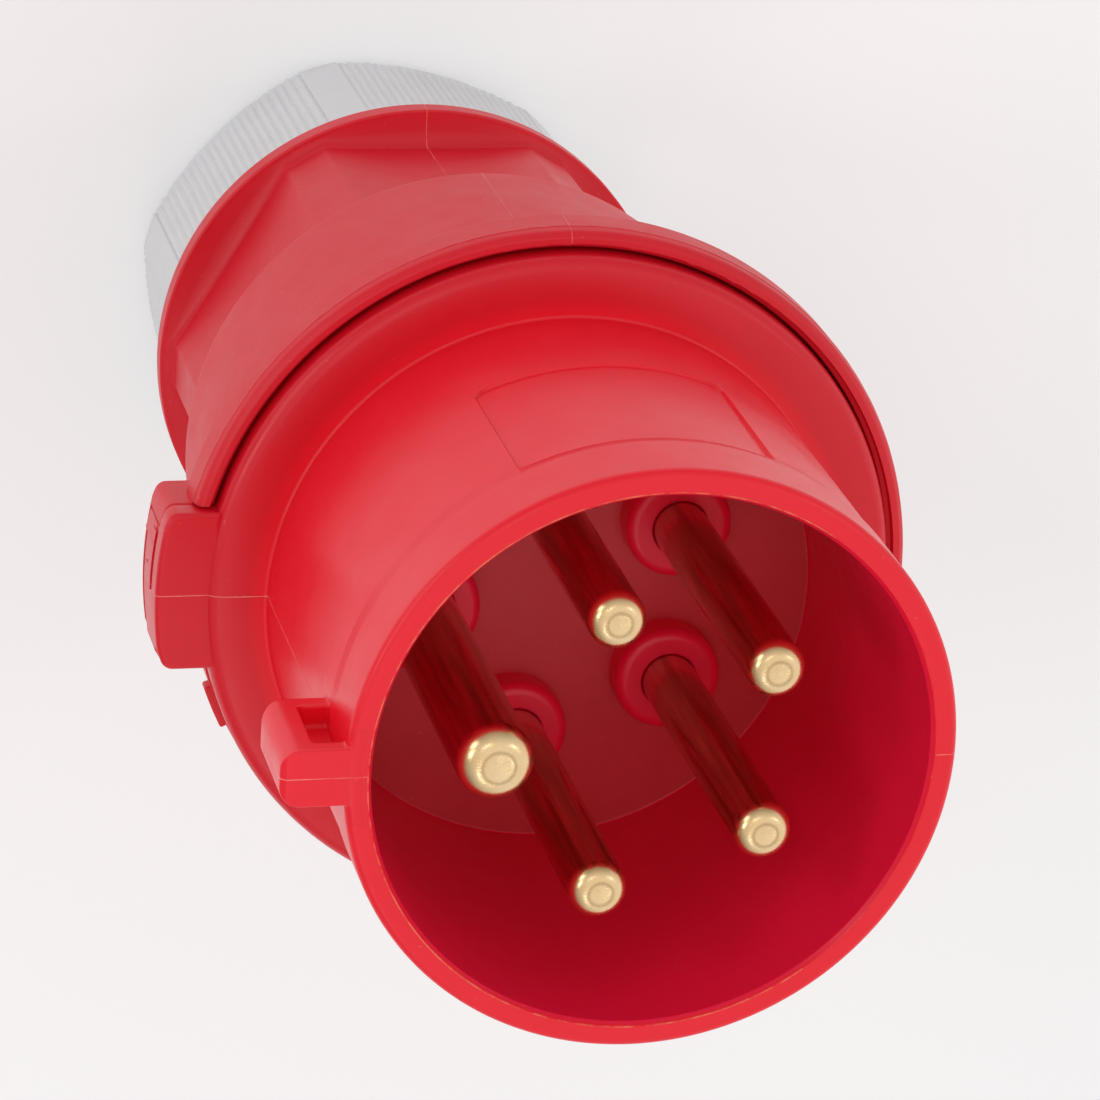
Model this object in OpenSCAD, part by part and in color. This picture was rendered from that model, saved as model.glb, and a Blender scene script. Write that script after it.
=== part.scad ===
// Industrial pin and sleeve plug, five poles, 32 A size.
// The plug stands on the rear face of its gland nut. +Z runs along the plug's
// axis towards the mouth, and +X points at the keyway and the earth pin.

/* [Overall] */
// Height from the rear face of the gland nut to the rim of the mouth
plug_len = 153.5; // [150:0.5:158]

/* [Shroud] */
// Outer diameter of the shroud
shroud_d = 63; // [62.6:0.1:63.4]
// Inner diameter of the shroud at its mouth
shroud_bore_d = 57.5; // [56.8:0.1:57.8]
// Depth from the mouth to the floor that carries the pins
floor_depth = 44.6; // [43:0.1:46]
// Thickness of the floor
floor_t = 4; // [3:0.5:5]
// Depth of the recess for a rating label
label_t = 0.45; // [0.2:0.05:0.6]

/* [Pins] */
// Diameter of the phase and neutral pins
pin_d = 6; // [5:0.1:6.4]
// Diameter of the earth pin
earth_d = 8; // [7:0.1:8.4]
// Radius from the axis to the phase and neutral pins
pin_r = 15.35; // [15:0.05:15.8]
// Radius from the axis to the earth pin
earth_r = 15.8; // [15.4:0.05:16.2]
// Angle from the earth pin to each of its neighbours
pin_a1 = 73.7; // [72:0.1:75]
// Angle from the earth pin to the two far pins
pin_a2 = 144.5; // [143:0.1:146]
// Distance of the pin tips behind the mouth
tip_depth = 1.5; // [0.5:0.1:3]

/* [Housing] */
// Outer diameter of the front flange
flange_d = 76.2; // [75:0.1:76.6]
// Outer diameter of the rear shell's rim
rim_d = 81.2; // [80.6:0.1:82]
// Outer diameter of the rear shell's barrel
barrel_d = 66.4; // [65:0.2:68]
// Width across the wrench flats
flats_w = 54.5; // [54:0.1:56]
// Outer diameter of the collar in front of the gland nut
collar_d = 63.2; // [62:0.2:64]

/* [Gland] */
// Width across the gland nut's rounded corners
nut_corner_d = 60; // [59.6:0.1:61]
// Width across the middle of the gland nut's faces
nut_face_w = 56.6; // [56.2:0.1:57.4]
// Ribs on each face of the gland nut
nut_ribs = 22; // [16:1:26]
// Bore of the nut for the cable
cable_d = 26; // [24:0.5:27]
// Bore of the rubber seal with no cable in it
seal_bore_d = 22; // [20:0.5:23]
// Rise of the gland thread for one turn
thread_pitch = 3; // [2:0.5:4]

/* [Lock] */
// Width of the lock block, along the rim
lock_w = 18; // [17.6:0.2:18.6]
// Length of the sliding lock piece
slide_w = 15.1; // [14.6:0.1:15.2]

/* [Hidden] */
$fn = 96;
Z0 = plug_len;
so = shroud_d / 2;
si = shroud_bore_d / 2;
zf = -floor_depth;           // floor surface
zu = zf - floor_t;           // underside of the floor
fr = flange_d / 2;
rr = rim_d / 2;
br = barrel_d / 2;
cr = collar_d / 2;
skirt_end = -53.5;            // end of the front shell's skirt
flat_a = flats_w / 2;
z_barrel = -91.9;            // rear edge of the barrel
z_cove = -120.2;             // front of the cove before the collar
z_collar = -125.6;           // rear face of the collar
neck_r = 25.4;
neck_end = -141.5;
seal_r = 20.6;
term_z = -59.5;              // height of the terminal screws
pin_seat = 0.1;              // how much fatter a pin is where it sits in the floor
pin_shank_end = -40.9;       // rear end of a pin's contact length
lock_y = -0.9;               // middle of the lock block, along the rim
lock_r = 43.3;               // radius of its outer face
slide_y = -7.2;              // start of the slide, along the rim
PIN_A = [-pin_a1, -pin_a2, pin_a2, pin_a1];   // l1, l2, l3, neutral

// point list of a quarter circle about c, radius r, from angle a to b
function arc(c, r, a, b, n = 6) =
    [for (i = [0:n]) [c[0] + r * cos(a + (b - a) * i / n), c[1] + r * sin(a + (b - a) * i / n)]];

module up() { translate([0, 0, Z0]) children(); }
module lathe(p) { rotate_extrude($fn = 96) polygon(p); }
// ring sector between radii r0 and r1, heights z0 and z1, centred on angle a
module sector(r0, r1, z0, z1, a, w) {
    rotate([0, 0, a - w / 2]) rotate_extrude(angle = w, $fn = 96)
        translate([r0, z0]) square([r1 - r0, z1 - z0]);
}

// ---------------------------------------------------------------- front shell
module front_profile() {
    polygon(concat(
        [[0, zf], [si - 0.25, zf], [si, -0.4], [si + 0.4, 0]],
        arc([so - 0.8, -0.8], 0.8, 90, 0),
        [[so, -9.1], [so - 0.2, -9.7], [so - 0.1, -44.4]],
        arc([so + 0.3, -45.1], 0.4, 180, 270, 3),
        [[fr - 3.7, -45.5], [fr - 2.7, -45.58]],
        arc([fr - 1.65, -47.3], 1.65, 105, 0, 7),
        [[fr, -49.9], [fr - 0.4, -50.2], [fr - 0.4, -50.6], [fr + 0.2, -51.0], [fr + 0.2, skirt_end + 0.4], [fr - 0.3, skirt_end],
         [fr - 2.9, skirt_end], [fr - 2.9, zu - 1], [fr - 3.9, zu], [0, zu]]));
}
// outline of the key, looking down on the mouth
module key_plan() {
    polygon(concat([[so - 1.2, -3.05]],
        arc([35.9, -1.05], 2.0, -90, 0, 6), arc([35.9, 1.05], 2.0, 0, 90, 6),
        [[so - 1.2, 3.05]]));
}
// outline of the key in the plane through the axis
module key_side() {
    polygon(concat([[so - 1.2, 0], [so - 1.2, -12.9]],
        arc([35.2, -9.7], 3.2, -90, 0, 6), [[38.4, -0.9], [37.3, 0]]));
}
module key() {
    difference() {
        intersection() {
            translate([0, 0, -14]) linear_extrude(15) key_plan();
            rotate([90, 0, 0]) translate([0, 0, -4]) linear_extrude(8) key_side();
        }
        for (s = [-1, 1])
            translate([31.2, s > 0 ? 0.6 : -3.6, -10.9]) cube([3.3, 3, 8.9]);
    }
}
module collar(r_pin, r_out) {
    rotate_extrude($fn = 64) polygon(concat(
        [[0, zf - 0.5], [r_out, zf - 0.5], [r_out, zf + 2.4]],
        arc([r_out - 1.2, zf + 2.4], 1.2, 0, 90, 4), [[0, zf + 3.6]]));
}
module at_pin(a, r) { rotate([0, 0, a]) translate([r, 0, 0]) children(); }
// outline of the lock block, looking down on the mouth
module lock_plan(x0) {
    a = lock_y - lock_w / 2;
    b = lock_y + lock_w / 2;
    polygon(concat([[x0, a]], arc([41.1, a + 1.3], 1.3, -88, -16, 4),
        [[lock_r + 0.9, a + 5.4], [lock_r + 0.9, b - 4.4]], arc([41.2, b - 1.4], 1.4, 14, 88, 4),
        [[x0, b]]));
}
// the lock block's front tier
module front_lug() {
    intersection() {
        translate([0, 0, -48.9]) linear_extrude(2.7) lock_plan(fr - 1.5);
        translate([0, 0, -60]) cylinder(r = lock_r + 0.1, h = 30);
    }
}
module front_shell() color([0.80, 0.06, 0.07]) up() {
    difference() {
        union() {
            lathe_front();
            key();
            front_lug();
            for (a = PIN_A) at_pin(a, pin_r) collar(pin_d / 2, 5.85);
            at_pin(0, earth_r) collar(earth_d / 2, 6.9);
            // posts for the carrier screws, under the floor
            for (a = [36, 216]) rotate([0, 0, a]) translate([29, 0, zu - 3.4]) cylinder(r = 3.4, h = 3.9);
            // bayonet lugs on the skirt
            for (a = [150, 240, 330]) sector(fr - 1.2, fr + 0.75, -53.2, -51.3, a, 24);
            // stop that shows in the rim's window
            sector(fr - 1.2, fr + 0.9, -53.3, -51.2, 22.6, 7.6);
        }
        // clearance holes and recesses for the pins
        for (a = PIN_A) at_pin(a, pin_r) {
            translate([0, 0, zu - 1]) cylinder(r = pin_d / 2 + pin_seat + 0.05, h = 20);
            translate([0, 0, zf + 2.4]) cylinder(r = pin_d / 2 + 0.32, h = 3);
        }
        at_pin(0, earth_r) {
            translate([0, 0, zu - 1]) cylinder(r = earth_d / 2 + pin_seat + 0.05, h = 20);
            translate([0, 0, zf + 2.4]) cylinder(r = earth_d / 2 + 0.32, h = 3);
        }
        // label recess
        sector(so - label_t, so + 2, -31.7, -9.6, -89.2, 49.5);
        // pilot holes for the carrier screws
        for (a = [36, 216]) rotate([0, 0, a]) translate([29, 0, zu - 4]) cylinder(r = 1.45, h = 6);
        // slot in the lock block for the tongue of the slide
        translate([40.6, -3.2, -50]) cube([1.6, 10.4, 3.2]);
    }
}
module lathe_front() { rotate_extrude($fn = 96) front_profile(); }

// ----------------------------------------------------------------------- pins
// contact pin with a rounded tip, a flange below the floor and a terminal barrel
module pin_solid(r, r_term, tip) {
    difference() {
        rotate_extrude($fn = 64) polygon(concat(
            [[0, -67.5], [r_term - 0.4, -67.5], [r_term, -67.1], [r_term, -52.4], [r_term - 0.5, -51.9],
             [r + pin_seat, -51.9], [r + pin_seat, -42.9], [r - 0.25, -42.6], [r - 0.25, pin_shank_end - 0.2],
             [r, pin_shank_end], [r, -tip - r * 0.52]],
            arc([r * 0.48, -tip - r * 0.52], r * 0.52, 0, 90, 6),
            [[0, -tip]]));
        translate([0, 0, -68.5]) cylinder(r = r_term * 0.52, h = 13);
        translate([0, 0, term_z]) rotate([0, 90, 0]) cylinder(r = 2.05, h = r_term + 2);
    }
}
module phase_pin(a) { up() at_pin(a, pin_r) pin_solid(pin_d / 2, 5.2, tip_depth); }
module earth_pin() color([0.80, 0.63, 0.33]) up() at_pin(0, earth_r) pin_solid(earth_d / 2, 6.0, tip_depth - 0.6);
module l1_pin() color([0.80, 0.63, 0.33]) phase_pin(PIN_A[0]);
module l2_pin() color([0.80, 0.63, 0.33]) phase_pin(PIN_A[1]);
module l3_pin() color([0.80, 0.63, 0.33]) phase_pin(PIN_A[2]);
module neutral_pin() color([0.80, 0.63, 0.33]) phase_pin(PIN_A[3]);

// grub screw that clamps a wire in its terminal, lying along the radius
module terminal_screw(a, r, r_term) {
    up() rotate([0, 0, a]) translate([r + r_term * 0.6, 0, term_z]) rotate([0, 90, 0]) difference() {
        union() {
            cylinder(r = 2.0, h = 4.6, $fn = 48);
            translate([0, 0, 4.6]) cylinder(r = 2.7, h = 1.6, $fn = 48);
        }
        translate([-0.35, -4, 5.4]) cube([0.7, 8, 2]);
    }
}
module earth_terminal_screw() color([0.75, 0.76, 0.78]) terminal_screw(0, earth_r, 6.0);
module l1_terminal_screw() color([0.75, 0.76, 0.78]) terminal_screw(PIN_A[0], pin_r, 5.2);
module l2_terminal_screw() color([0.75, 0.76, 0.78]) terminal_screw(PIN_A[1], pin_r, 5.2);
module l3_terminal_screw() color([0.75, 0.76, 0.78]) terminal_screw(PIN_A[2], pin_r, 5.2);
module neutral_terminal_screw() color([0.75, 0.76, 0.78]) terminal_screw(PIN_A[3], pin_r, 5.2);

// ------------------------------------------------------------ contact carrier
module contact_carrier() color([0.20, 0.20, 0.21]) up() difference() {
    union() {
        translate([0, 0, -55.4]) cylinder(r = fr - 3.2, h = 3.2);
        translate([0, 0, -66]) cylinder(r = 24.4, h = 66 - 48.9);
    }
    for (a = PIN_A) at_pin(a, pin_r) {
        translate([0, 0, -70]) cylinder(r = 5.25, h = 70 - 51.85);
        translate([0, 0, -52]) cylinder(r = pin_d / 2 + pin_seat + 0.05, h = 5);
        translate([0, 0, term_z]) rotate([0, 90, 0]) cylinder(r = 3.1, h = 14);
    }
    at_pin(0, earth_r) {
        translate([0, 0, -70]) cylinder(r = 6.05, h = 70 - 51.85);
        translate([0, 0, -52]) cylinder(r = earth_d / 2 + pin_seat + 0.05, h = 5);
        translate([0, 0, term_z]) rotate([0, 90, 0]) cylinder(r = 3.1, h = 14);
    }
    // middle is cored out
    translate([0, 0, -70]) cylinder(r = 6.5, h = 12);
    for (a = [36, 216]) rotate([0, 0, a]) translate([29, 0, -57]) cylinder(r = 1.75, h = 6);
}
module carrier_screws() color([0.75, 0.76, 0.78]) up()
    for (a = [36, 216]) rotate([0, 0, a]) translate([29, 0, 0]) difference() {
        union() {
            translate([0, 0, -55.4]) cylinder(r = 1.4, h = 8, $fn = 48);
            translate([0, 0, -57.4]) cylinder(r = 2.9, h = 2, $fn = 48);
        }
        translate([-0.35, -4, -58]) cube([0.7, 8, 1.4]);
        translate([-4, -0.35, -58]) cube([8, 0.7, 1.4]);
    }
module housing_seal() color([0.12, 0.12, 0.12]) up() difference() {
    translate([0, 0, skirt_end - 2]) cylinder(r = fr - 0.9, h = 2);
    translate([0, 0, skirt_end - 3]) cylinder(r = fr - 2.7, h = 4);
}

// ----------------------------------------------------------------- rear shell
module rear_outer() {
    rotate_extrude($fn = 96) polygon(concat(
        [[0, -47.4], [rr - 0.9, -47.4]], arc([rr - 0.7, -48.1], 0.7, 90, 0, 4),
        [[rr + 0.05, -53.0], [rr - 0.5, -54.0], [br + 5.0, -57.8], [br + 0.6, -66], [br, -67.5]],
        arc([br - 1.2, z_barrel + 1.2], 1.2, 0, -90, 4),
        [[0, z_barrel]]));
    // six wrench flats with trimmed corners
    intersection() {
        translate([0, 0, z_collar]) linear_extrude(z_barrel - z_collar + 1) hexa(flat_a);
        rotate_extrude($fn = 96) polygon(concat([[0, z_collar], [30.1, z_collar], [30.1, z_barrel + 2], [0, z_barrel + 2]]));
    }
    // collar with a cove in front of it
    rotate_extrude($fn = 96) polygon(concat(
        [[0, z_collar]], [[cr - 1.4, z_collar]], arc([cr - 1.4, z_collar + 1.4], 1.4, -90, 0, 4),
        arc([cr - 1.2, z_cove - 2.1], 1.2, 0, 110, 5),
        [[29.2, z_cove - 2.2], [28.0, z_cove - 1.6], [27.3, z_cove], [0, z_cove]]));
}
module hexa(a) {
    polygon([for (i = [0:5]) [a / cos(30) * cos(60 * i), a / cos(30) * sin(60 * i)]]);
}
// the lock block's rear tier
module rear_block() {
    intersection() {
        translate([0, 0, -56.9]) linear_extrude(7.6) lock_plan(36.4);
        translate([0, 0, -60]) cylinder(r = lock_r, h = 30);
    }
}
module rear_shell() color([0.78, 0.06, 0.07]) up() difference() {
    union() {
        rear_outer();
        rear_block();
        translate([0, 0, neck_end]) cylinder(r = neck_r, h = z_collar - neck_end + 1);
    }
    // skirt bore, shoulder for the seal, barrel and neck
    difference() {
        rotate_extrude($fn = 96) polygon([
            [0, 0], [39.0, 0], [39.0, skirt_end - 0.3], [fr - 0.75, skirt_end - 0.6], [fr - 0.75, skirt_end - 2], [34.6, skirt_end - 2],
            [34.6, -58.5], [30.6, -67.6], [30.6, z_barrel + 3], [24.2, z_barrel - 3.4], [24.2, -121],
            [17, -127], [17, -128.5], [seal_r + 0.2, -128.5], [seal_r + 0.2, neck_end + 0.6],
            [seal_r + 0.8, neck_end], [seal_r + 0.8, neck_end - 5], [0, neck_end - 5]]);
        // ribs that hold the bayonet lugs
        for (a = [150, 240, 330]) sector(fr + 0.35, 41, -50.9, -49.7, a, 22);
    }
    // window in the rim, beside the lock block
    sector(fr + 0.15, 46, -61, -40, 57, 90);
    // room for the lock block's front tier
    difference() {
        translate([36, lock_y - lock_w / 2 - 0.3, -49.2]) cube([10, lock_w + 0.6, 4]);
        translate([0, 0, -60]) cylinder(r = 36, h = 30);
    }
    // channel for the slide
    translate([41.6, slide_y - 0.25, -55.6]) cube([4, slide_w + 4, 8]);
    translate([40.6, -3.2, -50.9]) cube([1.4, 10.4, 4]);
}
module locking_slide() color([0.80, 0.10, 0.10]) up() {
    intersection() {
        union() {
            translate([41.75, slide_y, -55.4]) linear_extrude(5.9) polygon(
                [[0, 0], [3, 0], [3, slide_w - 3.0], [1.1, slide_w - 0.9], [0.5, slide_w], [0, slide_w]]);
            translate([40.8, -2.9, -50.6]) cube([1.2, 5.8, 3.4]);
        }
        translate([0, 0, -60]) cylinder(r = lock_r - 0.05, h = 20);
    }
    // finger grip at the end, a low wedge
    translate([42.0, slide_y, -55.4]) linear_extrude(5.0)
        polygon([[0, 0], [0.72, 0], [1.27, 2.2], [0, 2.2]]);
    // raised mark that shows which way it slides
    intersection() {
        translate([41.9, 0, 0]) rotate([0, 90, 0]) linear_extrude(2.6)
            polygon([[50.0, slide_y + 0.3], [51.7, slide_y + 0.3], [51.7, -2.2], [53.3, -2.0], [53.3, -0.5],
                     [52.7, 0.1], [49.8, 0.1], [49.8, -2.2], [50.0, -2.2]]);
        translate([0, 0, -60]) cylinder(r = lock_r + 0.2, h = 20);
    }
}

// ---------------------------------------------------------------------- gland
module gland_seal() color([0.10, 0.10, 0.10]) up() difference() {
    rotate_extrude($fn = 96) polygon([[seal_bore_d / 2, -128.5], [seal_r, -128.5], [seal_r, -141.2],
        [seal_r - 2.2, -143.2], [seal_bore_d / 2 + 1.5, -143.2], [seal_bore_d / 2, -141.7]]);
}
// ring with spring fingers that grip the cable as the nut is tightened
module clamping_cage() color([0.30, 0.30, 0.31]) up() difference() {
    rotate_extrude($fn = 96) polygon([[19.0, -143.7], [21.2, -141.7], [24.6, -141.7], [24.6, -143.6],
        [23.2, -144.2], [18.4, -148.6], [16.8, -148.6]]);
    for (i = [0:7]) rotate([0, 0, 22.5 + 45 * i]) translate([10, -0.6, -149]) cube([16, 1.2, 4.6]);
}
module slip_washer() color([0.55, 0.57, 0.60]) up() difference() {
    translate([0, 0, -150.1]) cylinder(r = 24.2, h = 1.2);
    translate([0, 0, -151]) cylinder(r = 14.2, h = 4);
}
// hexagon with bulged faces; s is the height of the ribs
function nut_r(u) = let (c = nut_corner_d / 2, h = 25.2, k = c * cos(h) )
    k / cos(u) + (nut_face_w / 2 - k) * (1 - pow(u / h, 2));
function nut_face(i) = [for (j = [0:nut_ribs - 1]) for (k = [0:3])
    let (u = -25.2 + 50.4 * (j + k / 4) / nut_ribs, a = 15.8 + 60 * i + u,
         r = nut_r(u) - (k == 1 || k == 2 ? 0 : 0.32))
    [r * cos(a), r * sin(a)]];
module gland_nut() color([0.80, 0.81, 0.82]) up() difference() {
    intersection() {
        translate([0, 0, -plug_len]) linear_extrude(plug_len - 126.1)
            polygon([for (i = [0:5]) each concat(nut_face(i), [let (a = 15.8 + 60 * i + 25.4) [nut_corner_d / 2 * cos(a), nut_corner_d / 2 * sin(a)],
                let (a = 15.8 + 60 * i + 34.4) [nut_corner_d / 2 * cos(a), nut_corner_d / 2 * sin(a)]])]);
        rotate_extrude($fn = 96) polygon([[0, -plug_len], [27.4, -plug_len], [29.2, -plug_len + 1.6], [30.5, -plug_len + 4],
            [30.5, -126.1], [0, -126.1]]);
    }
    rotate_extrude($fn = 96) polygon([[0, -120], [neck_r + 1.0, -120], [neck_r + 1.0, -126.2], [neck_r + 0.3, -127.2],
        [neck_r + 0.3, -146.5], [24.5, -147.6], [24.5, -150.3], [0, -150.3]]);
    translate([0, 0, -plug_len - 1]) cylinder(r = cable_d / 2, h = 8);
}

front_shell();
earth_pin();
l1_pin();
l2_pin();
l3_pin();
neutral_pin();
earth_terminal_screw();
l1_terminal_screw();
l2_terminal_screw();
l3_terminal_screw();
neutral_terminal_screw();
contact_carrier();
carrier_screws();
housing_seal();
rear_shell();
locking_slide();
gland_seal();
clamping_cage();
slip_washer();
gland_nut();
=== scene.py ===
import math

import bmesh
import bpy
import numpy as np
from mathutils import Matrix, Vector


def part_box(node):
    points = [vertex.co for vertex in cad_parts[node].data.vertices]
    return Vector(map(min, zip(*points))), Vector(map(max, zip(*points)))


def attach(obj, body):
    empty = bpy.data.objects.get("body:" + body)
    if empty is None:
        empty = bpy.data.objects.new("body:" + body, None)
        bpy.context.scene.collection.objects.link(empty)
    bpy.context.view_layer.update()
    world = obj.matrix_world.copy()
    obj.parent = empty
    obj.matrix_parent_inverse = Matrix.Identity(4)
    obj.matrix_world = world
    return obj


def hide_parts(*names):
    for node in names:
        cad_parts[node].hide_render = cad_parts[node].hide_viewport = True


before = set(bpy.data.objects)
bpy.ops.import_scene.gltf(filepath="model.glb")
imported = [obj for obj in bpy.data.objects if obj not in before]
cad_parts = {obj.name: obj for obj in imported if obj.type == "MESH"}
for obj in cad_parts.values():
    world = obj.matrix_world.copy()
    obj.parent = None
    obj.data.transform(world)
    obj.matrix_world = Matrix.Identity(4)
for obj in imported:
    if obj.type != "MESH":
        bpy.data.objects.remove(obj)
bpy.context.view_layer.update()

scene = bpy.context.scene

# The meshes are drawn in millimetres with z = 0 at the mouth, then moved to the frame.
Z0 = 1000.0 * max(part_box("front_shell")[1].z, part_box("gland_nut")[1].z)
RNG = np.random.default_rng(7)

# ------------------------------------------------------------------ camera
cam_data = bpy.data.cameras.new("camera")
cam = bpy.data.objects.new("camera", cam_data)
scene.collection.objects.link(cam)
RIGHT = Vector((-0.9725850485, -0.0617652948, 0.2241949414))
DOWN = Vector((0.0269229438, 0.9276927072, 0.3723726575))
AHEAD = Vector((-0.2309837191, 0.3682000670, -0.9005971531))
cam.matrix_world = Matrix((
    (RIGHT.x, -DOWN.x, -AHEAD.x, 0.1152781305),
    (RIGHT.y, -DOWN.y, -AHEAD.y, -0.1876646182),
    (RIGHT.z, -DOWN.z, -AHEAD.z, 0.5548633947),
    (0, 0, 0, 1)))
cam_data.sensor_width = 36.0
cam_data.lens = 4592.662135 / 1100.0 * 36.0
cam_data.clip_start = 0.01
cam_data.clip_end = 20.0
scene.camera = cam
scene.view_settings.view_transform = "Standard"
scene.view_settings.look = "None"


# --------------------------------------------------------------- materials
class Nodes:
    """A small helper that builds a material's node tree."""

    def __init__(self, name):
        self.m = bpy.data.materials.new(name)
        self.m.use_nodes = True
        self.t = self.m.node_tree
        self.b = self.t.nodes["Principled BSDF"]
        self.co = self.t.nodes.new("ShaderNodeTexCoord").outputs["Object"]

    def add(self, kind, inputs=None, **attrs):
        n = self.t.nodes.new(kind)
        for k, v in attrs.items():
            setattr(n, k, v)
        for k, v in (inputs or {}).items():
            if isinstance(v, bpy.types.NodeSocket):
                self.t.links.new(v, n.inputs[k])
            else:
                n.inputs[k].default_value = v
        return n

    def noise(self, scale, detail=3.0, rough=0.5, co=None, distortion=0.0):
        return self.add("ShaderNodeTexNoise", {"Vector": co or self.co, "Scale": scale, "Detail": detail,
                                               "Roughness": rough, "Distortion": distortion}).outputs["Fac"]

    def math(self, op, a, b=0.0, c=0.0, clamp=False):
        n = self.t.nodes.new("ShaderNodeMath")
        n.operation = op
        n.use_clamp = clamp
        for i, v in enumerate((a, b, c)):
            if isinstance(v, bpy.types.NodeSocket):
                self.t.links.new(v, n.inputs[i])
            else:
                n.inputs[i].default_value = v
        return n.outputs[0]

    def remap(self, v, a, b, c, d, smooth=False):
        n = self.add("ShaderNodeMapRange", {"Value": v, "From Min": a, "From Max": b, "To Min": c, "To Max": d})
        if smooth:
            n.interpolation_type = "SMOOTHSTEP"
        return n.outputs["Result"]

    def mix(self, fac, a, b):
        n = self.t.nodes.new("ShaderNodeMix")
        n.data_type = "RGBA"
        for key, v in ((0, fac), (6, a), (7, b)):
            if isinstance(v, bpy.types.NodeSocket):
                self.t.links.new(v, n.inputs[key])
            else:
                n.inputs[key].default_value = v
        return n.outputs[2]

    def bump(self, height, strength, distance, normal=None):
        ins = {"Height": height, "Strength": strength, "Distance": distance}
        if normal is not None:
            ins["Normal"] = normal
        return self.add("ShaderNodeBump", ins).outputs["Normal"]

    def scaled(self, x, y, z):
        return self.add("ShaderNodeMapping", {"Vector": self.co, "Scale": (x, y, z)}).outputs["Vector"]

    def polar(self):
        """(radius in metres, angle in radians, z in metres) about the plug's axis"""
        s = self.add("ShaderNodeSeparateXYZ", {"Vector": self.co}).outputs
        r = self.math("SQRT", self.math("ADD", self.math("MULTIPLY", s[0], s[0]), self.math("MULTIPLY", s[1], s[1])))
        return r, self.math("ARCTAN2", s[1], s[0]), s[2]

    def link(self, socket, name):
        self.t.links.new(socket, self.b.inputs[name])

    def set(self, **kw):
        names = {"spec": "Specular IOR Level", "ior": "IOR", "metal": "Metallic", "sss": "Subsurface Weight",
                 "sss_scale": "Subsurface Scale", "sss_radius": "Subsurface Radius", "coat": "Coat Weight",
                 "coat_rough": "Coat Roughness", "aniso": "Anisotropic"}
        for k, v in kw.items():
            self.b.inputs[names[k]].default_value = v


def rgb(r, g, b):
    """sRGB 0-255 to linear"""
    def f(c):
        c /= 255.0
        return c / 12.92 if c <= 0.04045 else ((c + 0.055) / 1.055) ** 2.4
    return (f(r), f(g), f(b), 1.0)


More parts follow.
